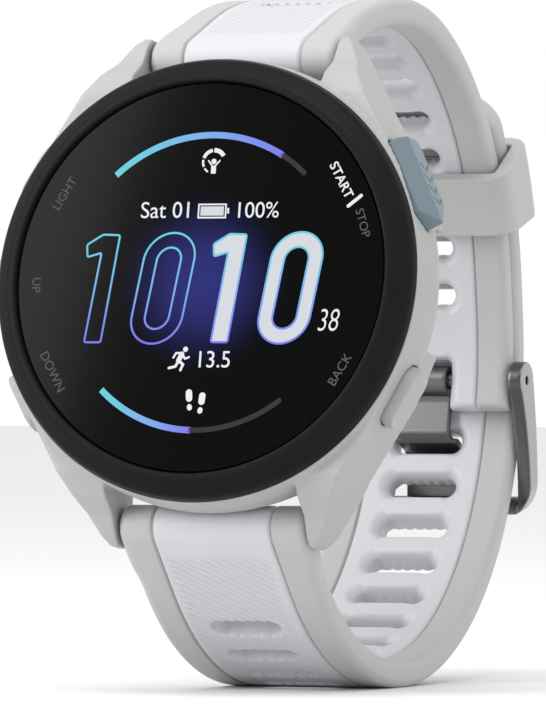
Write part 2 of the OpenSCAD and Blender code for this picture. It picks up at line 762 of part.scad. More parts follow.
// The tongue's middle line: under the lower band, through its slot, onto the crossbar
tongue_path = [pin, near_slot(-4.2, -band_t / 2 - 0.8), near_slot(-0.75, -band_t / 2 - 0.75),
    near_slot(-0.15, -band_t / 2 + 0.3), near_slot(0.1, band_t / 2 - 0.2),
    near_slot(0.9, band_t / 2 + 0.75),
    near_slot(buckle_l - tongue_reach - 0.2, band_t / 2 + bar_gap + 2 * crossbar_r + 0.45)];
module tongue_side() {
    t = tongue_t / 2;
    for (i = [0:5]) let (p = tongue_path[i], q = tongue_path[i + 1], u = (q - p) / norm(q - p),
        w = (t - 0.005 * i) * [-u.y, u.x]) polygon([p - w, q - w, q + w, p + w]);
    for (i = [1:6]) translate(tongue_path[i]) circle(t + 0.01, $fn = 32);
    translate(pin) circle(curl_r);
}
module buckle_tongue() {
    color("slategray") stand() difference() {
        across(tongue_w) tongue_side();
        rod(pin, pin_r + run_fit, 30);
        for (s = [0, 1]) mirror([s, 0, 0]) translate([tongue_neck / 2, pin.x, pin.y])
            rotate([90 + tuck_h, 0, 0]) translate([0, -6, -4.2]) cube([8, 12, 12]);
    }
}

case_body();
bezel();
lens();
lens_seal();
display();
antenna_ring();
mid_frame();
main_board();
shield_cans();
battery();
vibration_motor();
buzzer();
side_switches();
sensor_board();
sensor_lights();
sensor_window();
charge_socket();
charge_pins();
caseback();
caseback_gasket();
caseback_screws();
start_button();
start_stem();
back_button();
back_stem();
light_button();
light_stem();
up_button();
up_stem();
down_button();
down_stem();
button_seals();
upper_bar();
upper_bar_plunger();
lower_bar();
lower_bar_plunger();
upper_band_core();
upper_band_rails();
lower_band_core();
lower_band_rails();
keeper();
buckle_pin();
buckle_frame();
buckle_tongue();
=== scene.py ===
"""A round running watch, buckled into a closed loop and standing on its band."""

import bmesh
import bpy
import json
import math
import numpy as np
from mathutils import Matrix, Vector


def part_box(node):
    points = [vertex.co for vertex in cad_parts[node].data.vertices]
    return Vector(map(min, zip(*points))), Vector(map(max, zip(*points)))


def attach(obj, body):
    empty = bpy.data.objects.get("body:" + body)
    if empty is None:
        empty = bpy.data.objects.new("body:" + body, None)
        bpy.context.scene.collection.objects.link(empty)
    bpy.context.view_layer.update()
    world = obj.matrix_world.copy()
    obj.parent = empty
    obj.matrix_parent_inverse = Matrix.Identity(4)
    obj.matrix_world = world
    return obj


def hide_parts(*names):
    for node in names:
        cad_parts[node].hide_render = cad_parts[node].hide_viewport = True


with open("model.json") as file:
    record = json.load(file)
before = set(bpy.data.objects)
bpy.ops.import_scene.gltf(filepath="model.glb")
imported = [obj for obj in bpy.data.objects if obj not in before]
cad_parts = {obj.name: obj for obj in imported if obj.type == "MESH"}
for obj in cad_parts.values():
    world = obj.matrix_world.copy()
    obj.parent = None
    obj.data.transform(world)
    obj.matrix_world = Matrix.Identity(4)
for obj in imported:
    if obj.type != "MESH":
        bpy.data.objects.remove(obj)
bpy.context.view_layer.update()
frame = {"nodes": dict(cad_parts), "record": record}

# --- Camera ------------------------------------------------------------------------------
# A long lens, level with the middle of the dial and a little towards 3 o'clock. The watch's
# own axes run across it, from the glass to the wrist and up to 12 o'clock, from the middle of
# the bezel's widest circle. Sizes below are millimetres along these axes.
MM = 0.001
across = Vector((1, 0, 0))
to_wrist = Vector(frame["record"]["mounts"][0]["axis"]).normalized()
to_twelve = across.cross(to_wrist)
glass_front, glass_back = -1.5, -0.4
glass_low, glass_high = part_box("lens")
bezel_middle = (glass_low + glass_high) / 2 - to_wrist * (glass_front + glass_back) / 2 * MM
watch_axes = Matrix((across * MM, to_wrist * MM, to_twelve * MM)).transposed().to_4x4()
watch_axes.translation = bezel_middle

camera_data = bpy.data.cameras.new("camera")
camera_data.lens = 418.65
camera_data.sensor_width = 36
camera_data.clip_start = 0.05
camera = bpy.data.objects.new("camera", camera_data)
camera.location = bezel_middle + Vector((307.0, -738.8, -7.7)) * MM
camera.rotation_euler = (math.pi / 2, 0, math.radians(22.1))
bpy.context.collection.objects.link(camera)
bpy.context.scene.camera = camera


# --- Case ----------------------------------------------------------------------------------
# One moulding of fibre-filled nylon: a round shell with four long lugs, and pockets for the
# buttons. The mould leaves every edge a little rounded and the surface finely matt.
def nodes_of(material):
    material.use_nodes = True
    tree = material.node_tree
    return tree, tree.nodes["Principled BSDF"]


def add_node(tree, kind, inputs=(), **settings):
    node = tree.nodes.new(kind)
    for name, value in settings.items():
        setattr(node, name, value)
    for name, value in dict(inputs).items():
        if isinstance(value, bpy.types.NodeSocket):
            tree.links.new(value, node.inputs[name])
        else:
            node.inputs[name].default_value = value
    return node


def metres(tree):
    return add_node(tree, "ShaderNodeTexCoord").outputs["Object"]


def moulded(name, colour, roughness, grain=4500, depth=0.12, mottle=0.03, sheen=0.0,
            shine=0.5):
    """A matt moulded surface: a fine spark-eroded grain, and slightly uneven colour."""
    material = bpy.data.materials.new(name)
    tree, shader = nodes_of(material)
    place = metres(tree)
    grain_noise = add_node(tree, "ShaderNodeTexNoise",
                           {"Vector": place, "Scale": grain, "Detail": 3.0, "Roughness": 0.6})
    bump = add_node(tree, "ShaderNodeBump",
                    {"Height": grain_noise.outputs["Fac"], "Strength": depth,
                     "Distance": 0.00006})
    tree.links.new(bump.outputs["Normal"], shader.inputs["Normal"])
    cloud = add_node(tree, "ShaderNodeTexNoise",
                     {"Vector": place, "Scale": 140.0, "Detail": 4.0})
    tint = add_node(tree, "ShaderNodeMapRange",
                    {"Value": cloud.outputs["Fac"], "To Min": 1 - mottle, "To Max": 1 + mottle})
    base = add_node(tree, "ShaderNodeVectorMath", {0: colour, "Scale": tint.outputs["Result"]},
                    operation="SCALE")
    tree.links.new(base.outputs["Vector"], shader.inputs["Base Color"])
    gloss = add_node(tree, "ShaderNodeMapRange",
                     {"Value": grain_noise.outputs["Fac"], "To Min": roughness - 0.05,
                      "To Max": roughness + 0.07})
    tree.links.new(gloss.outputs["Result"], shader.inputs["Roughness"])
    shader.inputs["Specular IOR Level"].default_value = shine
    shader.inputs["Sheen Weight"].default_value = sheen
    shader.inputs["Sheen Roughness"].default_value = 0.5
    return material


def new_piece(name, mesh, material, body, slot, *nodes, smooth=35):
    """A finished piece: its material, the body it rides on and the CAD nodes it stands for."""
    mesh.materials.clear()
    mesh.materials.append(material)
    mesh.shade_smooth()
    mesh.set_sharp_from_angle(angle=math.radians(smooth))
    piece = bpy.data.objects.new(name, mesh)
    bpy.context.collection.objects.link(piece)
    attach(piece, body)
    if nodes:
        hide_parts(*nodes)
    return piece


def eased(node, cell, passes):
    """A copy of a CAD node's mesh with its edges eased, as a mould or a tumbler leaves them."""
    part = bpy.data.objects.new(node, frame["nodes"][node].data.copy())
    bpy.context.collection.objects.link(part)
    remesh = part.modifiers.new("even", "REMESH")
    remesh.mode = "VOXEL"
    remesh.voxel_size = cell * MM
    ease = part.modifiers.new("ease", "SMOOTH")
    ease.factor = 0.5
    ease.iterations = passes
    bpy.context.view_layer.update()
    shape = part.evaluated_get(bpy.context.evaluated_depsgraph_get())
    mesh = bpy.data.meshes.new_from_object(shape)
    bpy.data.objects.remove(part)
    return mesh


shell_grey = moulded("shell_grey", (0.375, 0.375, 0.37), 0.46)
new_piece("case", eased("case_body", 0.16, 6), shell_grey, "watch", "shell_grey", "case_body",
          smooth=60)


# --- Works ---------------------------------------------------------------------------------
# The sealed inside: a moulded cup, circuit boards, a pouch cell, motor, buzzer, switches and
# seals. None of it shows once the watch is closed, but each has its own finish.
def finish_node(node, material, bevel=0.0):
    part = frame["nodes"][node]
    part.data.materials.clear()
    part.data.materials.append(material)
    if bevel:
        edge = part.modifiers.new("edge", "BEVEL")
        edge.width = bevel * MM
        edge.segments = 2
        edge.limit_method = "ANGLE"
        edge.angle_limit = math.radians(40)


def metal(name, colour, roughness, brush=(1, 1, 60), scale=900, depth=0.12):
    """Metal with a lay of fine scratches across the direction that brush stretches."""
    material = bpy.data.materials.new(name)
    tree, shader = nodes_of(material)
    stretch = add_node(tree, "ShaderNodeMapping", {"Vector": metres(tree), "Scale": brush})
    scratches = add_node(tree, "ShaderNodeTexNoise",
                         {"Vector": stretch.outputs["Vector"], "Scale": scale, "Detail": 4.0})
    bump = add_node(tree, "ShaderNodeBump",
                    {"Height": scratches.outputs["Fac"], "Strength": depth,
                     "Distance": 0.00002})
    tree.links.new(bump.outputs["Normal"], shader.inputs["Normal"])
    tone = add_node(tree, "ShaderNodeMapRange",
                    {"Value": scratches.outputs["Fac"], "To Min": 0.88, "To Max": 1.1})
    base = add_node(tree, "ShaderNodeVectorMath", {0: colour, "Scale": tone.outputs["Result"]},
                    operation="SCALE")
    tree.links.new(base.outputs["Vector"], shader.inputs["Base Color"])
    gloss = add_node(tree, "ShaderNodeMapRange",
                     {"Value": scratches.outputs["Fac"], "To Min": roughness - 0.06,
                      "To Max": roughness + 0.1})
    tree.links.new(gloss.outputs["Result"], shader.inputs["Roughness"])
    shader.inputs["Metallic"].default_value = 1.0
    return material


black_plastic = moulded("black_plastic", (0.03, 0.03, 0.032), 0.5)
black_rubber = moulded("black_rubber", (0.018, 0.018, 0.019), 0.7, mottle=0.15)
board_green = moulded("board_green", (0.02, 0.11, 0.05), 0.4, grain=2500, mottle=0.25)
cell_wrap = moulded("cell_wrap", (0.33, 0.36, 0.4), 0.35, grain=900, mottle=0.06)
tinned = metal("tinned_steel", (0.6, 0.6, 0.6), 0.35)
pale_steel = metal("pale_steel", (0.55, 0.55, 0.56), 0.3)
brass = metal("brass", (0.78, 0.57, 0.25), 0.3)
for inner in ("mid_frame", "side_switches", "display"):
    finish_node(inner, black_plastic)
for inner in ("lens_seal", "caseback_gasket", "button_seals"):
    finish_node(inner, black_rubber)
for inner in ("main_board", "sensor_board"):
    finish_node(inner, board_green)
finish_node("battery", cell_wrap, bevel=0.5)
for inner in ("shield_cans", "vibration_motor"):
    finish_node(inner, tinned)
for inner in ("antenna_ring", "buzzer"):
    finish_node(inner, brass)


# --- Case back -----------------------------------------------------------------------------
# A dark moulded plate on four screws, with a raised, domed window over the pulse sensor and
# a recessed socket of four gold-plated contacts.
back_dark = moulded("back_dark", (0.075, 0.075, 0.08), 0.42)
finish_node("caseback", back_dark, bevel=0.12)
finish_node("charge_socket", black_plastic, bevel=0.08)
finish_node("charge_pins", brass, bevel=0.08)
finish_node("caseback_screws", pale_steel, bevel=0.06)
light_chips = moulded("light_chips", (0.45, 0.6, 0.35), 0.2, depth=0.02)
finish_node("sensor_lights", light_chips)
sensor_black = moulded("sensor_black", (0.012, 0.012, 0.015), 0.12, depth=0.01)
finish_node("sensor_window", sensor_black, bevel=0.1)


# --- Bezel ---------------------------------------------------------------------------------
# A dark moulded ring that clamps the glass. Its face slopes up from the case to a rounded
# crest, and a low step inside the crest holds the glass.
def lathe(outline, steps=360):
    """Turns an outline of (radius, depth) round the watch's axis, in metres."""
    outline = np.array(outline, float)
    turn = np.linspace(0, 2 * math.pi, steps, endpoint=False)
    rings = [np.stack([r * np.cos(turn), np.full(steps, y), r * np.sin(turn)], 1)
             for r, y in outline]
    points = np.concatenate(rings)
    count = len(outline)
    faces = []
    for ring in range(count - 1):
        for step in range(steps):
            after = (step + 1) % steps
            low, high = ring * steps, (ring + 1) * steps
            faces.append((low + step, low + after, high + after, high + step))
    return stood("lathe", points, faces)


def stood(name, points, faces):
    """A mesh of points given along the watch's axes, in millimetres."""
    mesh = bpy.data.meshes.new(name)
    mesh.from_pydata([tuple(p) for p in points], [], faces)
    mesh.transform(watch_axes)
    rounding = bmesh.new()
    rounding.from_mesh(mesh)
    bmesh.ops.remove_doubles(rounding, verts=rounding.verts, dist=1e-7)
    bmesh.ops.recalc_face_normals(rounding, faces=rounding.faces)
    rounding.to_mesh(mesh)
    rounding.free()
    return mesh


def fillet(corner, before, after, radius, steps=6):
    """Points that round off a corner of an outline."""
    corner, before, after = (np.array(p, float) for p in (corner, before, after))
    into = (before - corner) / np.linalg.norm(before - corner)
    away = (after - corner) / np.linalg.norm(after - corner)
    return [tuple((1 - t) ** 2 * (corner + radius * into) + 2 * t * (1 - t) * corner
                  + t ** 2 * (corner + radius * away))
            for t in np.linspace(0, 1, steps)]


bezel_outline = ([(17.6, -0.28), (18.97, -0.28), (18.97, -1.45)]
                 + fillet((19.08, -1.84), (18.97, -1.45), (19.6, -1.9), 0.14)
                 + fillet((19.62, -1.9), (19.1, -1.85), (21.1, -1.0), 0.4, 8)
                 + fillet((21.2, -0.83), (19.6, -1.88), (21.5, -0.1), 0.3, 8)
                 + [(21.5, 0.0), (21.5, 0.5), (17.6, 0.5), (17.6, -0.28)])
bezel_dark = moulded("bezel_dark", (0.008, 0.008, 0.0085), 0.36, grain=3200, depth=0.45,
                     mottle=0.15, shine=0.07)
new_piece("bezel_ring", lathe(bezel_outline), bezel_dark, "watch", "bezel_dark", "bezel",
          smooth=30)


# --- Glass and dial --------------------------------------------------------------------------
# Hardened glass, flat, with a small polished edge. The round display lights the dial just
# behind it: the time, a date line, two progress arcs and the buttons' names.
def glowing(name, colour, strength):
    material = bpy.data.materials.new(name)
    tree, shader = nodes_of(material)
    place = metres(tree)
    pixels = add_node(tree, "ShaderNodeTexVoronoi", {"Vector": place, "Scale": 9000.0})
    level = add_node(tree, "ShaderNodeMapRange",
                     {"Value": pixels.outputs["Distance"], "From Max": 0.6,
                      "To Min": 1.03, "To Max": 0.94})
    light = add_node(tree, "ShaderNodeVectorMath", {0: colour, "Scale": level.outputs["Result"]},
                     operation="SCALE")
    tree.links.new(light.outputs["Vector"], shader.inputs["Emission Color"])
    shader.inputs["Base Color"].default_value = (0.0, 0.0, 0.0, 1)
    shader.inputs["Emission Strength"].default_value = strength
    shader.inputs["Roughness"].default_value = 0.3
    shader.inputs["Specular IOR Level"].default_value = 0.0
    return material


def glass_with_painted_glow():
    """Near-black glass with a painted glow: a fixed blue emission that fades out from near the
    dial's middle and paints in the display's light and the sheen on the glass.
    """
    material = bpy.data.materials.new("glass_with_painted_glow")
    tree, shader = nodes_of(material)
    middle = bezel_middle + to_wrist * glass_front * MM
    # Painted glow: fixed blue light on the glass, strongest near the dial's middle and gone 9.8
    # mm out
    painted_glow_centre = middle + (across * 0.4 - to_twelve * 0.45) * MM
    shift = add_node(tree, "ShaderNodeVectorMath", {0: metres(tree), 1: tuple(painted_glow_centre)},
                     operation="SUBTRACT")
    far = add_node(tree, "ShaderNodeVectorMath", {0: shift.outputs["Vector"]},
                   operation="LENGTH")
    fade = add_node(tree, "ShaderNodeMapRange",
                    {"Value": far.outputs["Value"], "From Min": 0.0, "From Max": 0.0098,
                     "To Min": 1.0, "To Max": 0.0},
                    interpolation_type="SMOOTHERSTEP")
    painted_glow = add_node(tree, "ShaderNodeVectorMath",
                    {0: (0.026, 0.028, 0.185), "Scale": fade.outputs["Result"]},
                    operation="SCALE")
    tree.links.new(painted_glow.outputs["Vector"], shader.inputs["Emission Color"])
    shader.inputs["Emission Strength"].default_value = 1.0
    shader.inputs["Base Color"].default_value = (0.001, 0.001, 0.001, 1)
    shader.inputs["Roughness"].default_value = 0.19
    shader.inputs["IOR"].default_value = 1.5
    shader.inputs["Specular IOR Level"].default_value = 0.055
    return material


glass_outline = [(0.001, glass_front), (18.6, glass_front), (18.8, glass_front + 0.05),
                 (18.9, glass_front + 0.2), (18.9, glass_back), (0.001, glass_back)]
new_piece("glass", lathe(glass_outline), glass_with_painted_glow(), "watch", "cover_glass", "lens")
dial_depth = glass_front - 0.012


def dial_mesh(name, loops):
    """Flat faces on the dial, each a loop of (x, z) points."""
    points, faces = [], []
    for loop in loops:
        start = len(points)
        points += [(x, dial_depth, z) for x, z in loop]
        faces.append(tuple(range(start, start + len(loop))))
    return stood(name, points, faces)


def stroke(route, width, closed=False, taper=True):
    """Quads and round ends that draw a line of a width through the points of a route."""
    route = np.array(route, float)
    ahead = np.roll(route, -1, 0) - route
    if not closed:
        ahead[-1] = ahead[-2]
    ahead /= np.linalg.norm(ahead, axis=1)[:, None]
    behind = np.roll(ahead, 1, 0)
    if not closed:
        behind[0] = ahead[0]
    mean = ahead + behind
    mean /= np.linalg.norm(mean, axis=1)[:, None]
    side = np.stack([-mean[:, 1], mean[:, 0]], 1) * width / 2
    side /= np.maximum((mean * ahead).sum(1), 0.5)[:, None]
    left, right = route + side, route - side
    count = len(route)
    loops = [(left[i], left[(i + 1) % count], right[(i + 1) % count], right[i])
             for i in range(count if closed else count - 1)]
    if not closed and taper:
        for end, facing in ((route[0], -ahead[0]), (route[-1], ahead[-1])):
            start = math.atan2(facing[1], facing[0])
            loops.append([end + width / 2 * np.array((math.cos(start + a), math.sin(start + a)))
                          for a in np.linspace(-math.pi / 2, math.pi / 2, 9)])
    return loops


def dial_arc(radius, start, end, steps=40):
    turn = np.radians(np.linspace(start, end, steps))
    return np.stack([radius * np.cos(turn), radius * np.sin(turn)], 1)


def dial_piece(name, loops, material):
    return new_piece(name, dial_mesh(name, loops), material, "watch", "display_panel")


arc_middle, arc_radius, arc_width = np.array((0.45, -0.55)), 14.3, 0.62


def fading(name, low, high, direction, strength=1.0):
    """Display light that runs from cyan through blue to violet between two dial points."""
    material = glowing(name, (1, 1, 1), strength)
    tree = material.node_tree
    shader = tree.nodes["Principled BSDF"]
    start = watch_axes @ Vector((low[0], dial_depth, low[1]))
    reach = (watch_axes @ Vector((high[0], dial_depth, high[1])) - start).dot(direction)
    shift = add_node(tree, "ShaderNodeVectorMath", {0: metres(tree), 1: tuple(start)},
                     operation="SUBTRACT")
    along_it = add_node(tree, "ShaderNodeVectorMath",
                        {0: shift.outputs["Vector"], 1: tuple(direction / reach)},
                        operation="DOT_PRODUCT")
    ramp = add_node(tree, "ShaderNodeValToRGB", {"Fac": along_it.outputs["Value"]})
    ramp.color_ramp.elements[0].color = (0.16, 0.66, 0.74, 1)
    ramp.color_ramp.elements[1].color = (0.22, 0.21, 0.86, 1)
    middle_stop = ramp.color_ramp.elements.new(0.5)
    middle_stop.color = (0.22, 0.46, 0.86, 1)
    tree.links.new(ramp.outputs["Color"], shader.inputs["Emission Color"])
    return material


for half, first, last, rest in (("upper", 133.0, 59.0, 47.5), ("lower", -133.3, -91.3, -53.0)):
    ends = [arc_middle + dial_arc(arc_radius, t, t, 1)[0] for t in (first, last)]
    dial_piece(f"{half}_arc", stroke(arc_middle + dial_arc(arc_radius, first, last), arc_width,
                                     taper=False),
               fading(f"{half}_arc_light", ends[0], ends[1], across))
    dial_piece(f"{half}_arc_rest", stroke(arc_middle + dial_arc(arc_radius, last, rest),
                                          arc_width * 0.8),
               glowing(f"{half}_arc_rest_light", (0.05, 0.05, 0.052), 1.0))

white_light = glowing("white_light", (0.9, 0.92, 0.95), 1.0)
silver_light = glowing("silver_light", (0.72, 0.75, 0.8), 1.0)
edge_light = fading("edge_light", (0, 4.3), (0, -6.5), to_twelve)
numeral_gap = 13.13         # from the hours to the minutes
edge_lift = 0.006           # a numeral's edge line stands this far in front of its fill
one_outline = [(-11.73, 1.94), (-11.85, 3.14), (-10.23, 4.13), (-8.48, 4.06), (-9.78, -6.36),
               (-11.5, -6.35), (-10.29, 2.35)]


def numeral_ring(width, height):
    """A loop round a numeral 0: half circles joined by straight sides, leaning over."""
    r = width / 2
    turn = np.linspace(0, math.pi, 28)
    top_half = np.stack([r * np.cos(turn), height / 2 - r + r * np.sin(turn)], 1)
    loop = np.concatenate([top_half, -top_half])
    loop[:, 0] += 0.153 * loop[:, 1]
    return loop + np.array((-3.66, -1.12))


def softened(corners, radius=0.22):
    """A loop with its corners rounded off."""
    count = len(corners)
    return [p for i in range(count)
            for p in fillet(corners[i], corners[i - 1], corners[(i + 1) % count], radius, 5)]


zero_outer, zero_inner = numeral_ring(5.25, 10.75), numeral_ring(2.5, 7.9)
for group, shift in (("hour", 0.0), ("minute", numeral_gap)):
    shift = np.array((shift, 0.0))
    one_loop = np.array(softened(one_outline)) + shift
    outer, inner = zero_outer + shift, zero_inner + shift
    if group == "minute":
        count = len(outer)
        dial_piece("minute_one_fill", [one_loop], silver_light)
        dial_piece("minute_zero_fill",
                   [(outer[i], outer[(i + 1) % count], inner[(i + 1) % count], inner[i])
                    for i in range(count)], silver_light)
    dial_depth -= edge_lift
    dial_piece(f"{group}_one_edge", stroke(one_loop, 0.2, closed=True), edge_light)
    dial_piece(f"{group}_zero_edge", stroke(outer, 0.2, closed=True)
               + stroke(inner, 0.2, closed=True), edge_light)
    dial_depth += edge_lift


def lettering(name, words, x, z, size, material, turn=0.0, slant=0.0, narrow=1.0, bold=0.0):
    """Plain lettering in the dial's plane, centred on a point and turned by an angle."""
    text = bpy.data.curves.new(name, "FONT")
    text.body = words
    text.size = size
    text.shear = slant
    text.offset = bold
    text.align_x = "CENTER"
    text.align_y = "CENTER"
    text.resolution_u = 6
    holder = bpy.data.objects.new(name, text)
    bpy.context.collection.objects.link(holder)
    bpy.context.view_layer.update()
    shape = holder.evaluated_get(bpy.context.evaluated_depsgraph_get())
    mesh = bpy.data.meshes.new_from_object(shape)
    bpy.data.objects.remove(holder)
    flat = Matrix(((1, 0, 0, x), (0, 0, 1, dial_depth), (0, 1, 0, z), (0, 0, 0, 1)))
    spin = Matrix.Rotation(math.radians(turn), 4, "Z") @ Matrix.Diagonal((narrow, 1, 1, 1))
    mesh.transform(watch_axes @ flat @ spin)
    return new_piece(name, mesh, material, "watch", "display_panel")


dim_light = glowing("dim_light", (0.13, 0.13, 0.135), 1.0)
lettering("date_words", "Sat 01", -3.8, 6.4, 2.25, white_light, narrow=0.98)
lettering("charge_words", "100%", 5.5, 6.35, 2.2, white_light, narrow=0.97)
lettering("seconds", "38", 13.45, -4.35, 3.1, white_light, slant=0.2, narrow=0.72, bold=-0.03)
lettering("distance", "13.5", 2.0, -8.1, 2.3, white_light, narrow=0.95)

# The small marks: a battery by the date, a figure in a ring, a runner and two footprints
dial_piece("battery_mark",
           stroke([(-0.5, 5.72), (2.3, 5.72), (2.3, 7.0), (-0.5, 7.0)], 0.16, closed=True)
           + stroke([(2.55, 6.1), (2.55, 6.65)], 0.2, taper=False), white_light)
dial_piece("battery_fill", stroke([(-0.3, 6.36), (2.1, 6.36)], 0.9, taper=False),
           silver_light)
mark = np.array((0.75, 11.15))
ring_marks = []
for first, last, width in ((30, 92, 0.42), (100, 160, 0.34), (170, 205, 0.22),
                           (215, 240, 0.18)):
    ring_marks += stroke(mark + dial_arc(1.12, first, last, 12), width, taper=False)
dial_piece("ready_mark", ring_marks + stroke([mark + (0, 0.02), mark + (0, 0.04)], 0.52)
           + stroke([mark + (-0.55, 0.1), mark + (-0.12, -0.45), mark + (0.12, -0.45),
                     mark + (0.6, 0.1)], 0.15)
           + stroke([mark + (0, -0.45), mark + (0, -1.15)], 0.5, taper=False), white_light)
mark = np.array((-1.45, -7.9))
dial_piece("runner_mark",
           stroke([mark + (0.55, 0.85), mark + (0.56, 0.87)], 0.5)
           + stroke([mark + (0.2, 0.4), mark + (-0.1, -0.25)], 0.5)
           + stroke([mark + (0.25, 0.4), mark + (0.55, -0.05), mark + (0.95, 0.1)], 0.2)
           + stroke([mark + (0.15, 0.5), mark + (-0.4, 0.5), mark + (-0.65, 0.05)], 0.2)
           + stroke([mark + (0.0, -0.3), mark + (0.38, -0.6), mark + (0.15, -1.15)], 0.26)
           + stroke([mark + (-0.1, -0.3), mark + (-0.4, -0.8), mark + (-1.05, -0.95)], 0.26),
           white_light)
for side, lift in ((-1, 0.22), (1, -0.08)):
    mark = np.array((0.45 + side * 0.6, -12.2 + lift))
    dial_piece("step_mark_left" if side < 0 else "step_mark_right",
               stroke([mark + (0.05 * side, 0.2), mark + (0.1 * side, 0.75)], 0.66)
               + stroke([mark + (-0.06 * side, -0.72), mark + (-0.03 * side, -0.6)], 0.5),
               white_light)

for words, x, z, turn, size, light, weight in (
        ("START", 13.95, 9.25, -60, 1.32, white_light, 0.02),
        ("STOP", 16.4, 5.1, -71, 1.22, dim_light, 0.0),
        ("BACK", 15.07, -9.03, 60, 1.3, dim_light, 0.0),
        ("LIGHT", -14.55, 8.13, 60, 1.25, dim_light, 0.0),
        ("UP", -16.93, -0.76, -90, 1.25, dim_light, 0.0),
        ("DOWN", -14.62, -9.24, -60, 1.3, dim_light, 0.0)):
    lettering("label_" + words.lower(), words, x, z, size, light, turn=turn, bold=weight)
dial_piece("start_stop_tick", stroke([(14.85, 6.75), (16.1, 7.75)], 0.34), white_light)


# --- Buttons ---------------------------------------------------------------------------------
# Five moulded caps on steel stems. Four are small ovals; the start button is a long, faceted
# blue-grey one with arrow marks on its side. Each cap is pressed on to its stem.
button_blue = moulded("button_blue", (0.13, 0.18, 0.21), 0.36, depth=0.06)
for button in ("back", "light", "up", "down"):
    new_piece(f"{button}_cap", eased(f"{button}_button", 0.07, 8), shell_grey,
              f"{button}_push", "shell_grey", f"{button}_button", smooth=60)
new_piece("start_cap", eased("start_button", 0.06, 5), button_blue, "start_push",
          "button_blue", "start_button", smooth=60)
for button in ("start", "back", "light", "up", "down"):
    finish_node(f"{button}_stem", pale_steel)


# --- Spring bars -----------------------------------------------------------------------------
# Steel tubes through the band's thick ends. One tip is fixed, and a thumb lever draws the
# other back so that the band can be changed without tools.
for place in ("upper", "lower"):
    finish_node(f"{place}_bar", pale_steel, bevel=0.05)
    finish_node(f"{place}_bar_plunger", pale_steel, bevel=0.05)


# --- Band ------------------------------------------------------------------------------------
# Two straps of silicone, each moulded in two colours: a pale slotted middle with fine slanting
# ribs on its outside, and a grey border that also wraps the tip. A fine seam divides them.
band_thickness, core_half, border_half, knuckle_half = 2.7, 6.1, 9.3, 9.7
knuckle_radius = band_thickness / 2 + 0.85
slot_half, slot_radius, slot_pitch = 2.5, 1.15, 5.0
bar_depth, bar_height = 7.4, 22.9


def along(turn, radius):
    return radius * math.radians(turn)


class Strap:
    """A strap's middle line in the watch's middle plane, from its spring bar to its end."""

    def __init__(self, heading, stretches, flipped):
        self.flip = -1 if flipped else 1
        lift = knuckle_radius - band_thickness / 2 - 0.05
        h = math.radians(heading)
        spot = np.array((bar_depth, bar_height)) + lift * np.array((-math.sin(h), math.cos(h)))
        step = 0.1
        spots, heads, gone = [spot], [h], [0.0]
        for radius, length in stretches:
            count = max(2, round(length / step))
            part = length / count
            for _ in range(count):
                bend = -part / radius if radius else 0.0
                mid = h + bend / 2
                spot = spot + part * np.array((math.cos(mid), math.sin(mid)))
                h += bend
                spots.append(spot)
                heads.append(h)
                gone.append(gone[-1] + part)
        self.spots, self.heads, self.gone = np.array(spots), np.array(heads), np.array(gone)
        self.length = self.gone[-1]

    def place(self, u, x, out):
        """Points at distances u along, x across and out from the middle line."""
        y = np.interp(u, self.gone, self.spots[:, 0])
        z = np.interp(u, self.gone, self.spots[:, 1])
        h = np.interp(u, self.gone, self.heads)
        return np.stack([x, y - out * np.sin(h), self.flip * (z + out * np.cos(h))], -1)


upper_strap = Strap(30, [(0, 6.2), (39.1, along(21, 39.1)), (24.7, along(24.2, 24.7)),
                         (30.1, along(58.4, 30.1)), (0, 3.7), (29.0, 9.6)], flipped=False)
lower_strap = Strap(37, [(0, 6.876), (27.7, along(20, 27.7)), (32.05, along(123.4, 32.05)),
                         (0, 3.7), (33.15, along(37, 33.15))], flipped=True)
pin_foot = 78.276           # the buckle pin's place along the lower strap
tongue_reach = 6.4          # from the pin to the slot that the tongue goes through
last_slot = 11.8            # from the upper strap's end to its nearest slot
tongue_slot = pin_foot - tongue_reach
upper_slots = [upper_strap.length - last_slot - k * slot_pitch for k in range(11)]
lower_slots = [tongue_slot + k * slot_pitch for k in range(-12, 6)]
tip_reach = 8.0             # border material past the end of the core


def slot_distance(u, x, slots, notch=None):
    """Distance to the nearest slot's or the notch's edge, negative inside."""
    nearest = np.min(np.abs(u[..., None] - np.array(slots)), axis=-1)
    gap = np.hypot(np.maximum(np.abs(x) - slot_half, 0), nearest) - slot_radius
    if notch:
        start, half, corner = notch
        side, above = np.abs(x) - (half - corner), start + corner - u
        notch_gap = (np.hypot(np.maximum(side, 0), np.maximum(above, 0))
                     + np.minimum(np.maximum(side, above), 0) - corner)
        gap = np.minimum(gap, notch_gap)
    return gap


def knuckle_swell(u):
    """How much further the strap's inside reaches near its spring bar."""
    swell = 2 * knuckle_radius - 0.05 - band_thickness
    return swell * np.clip(1 - u / 5.0, 0, 1) ** 2


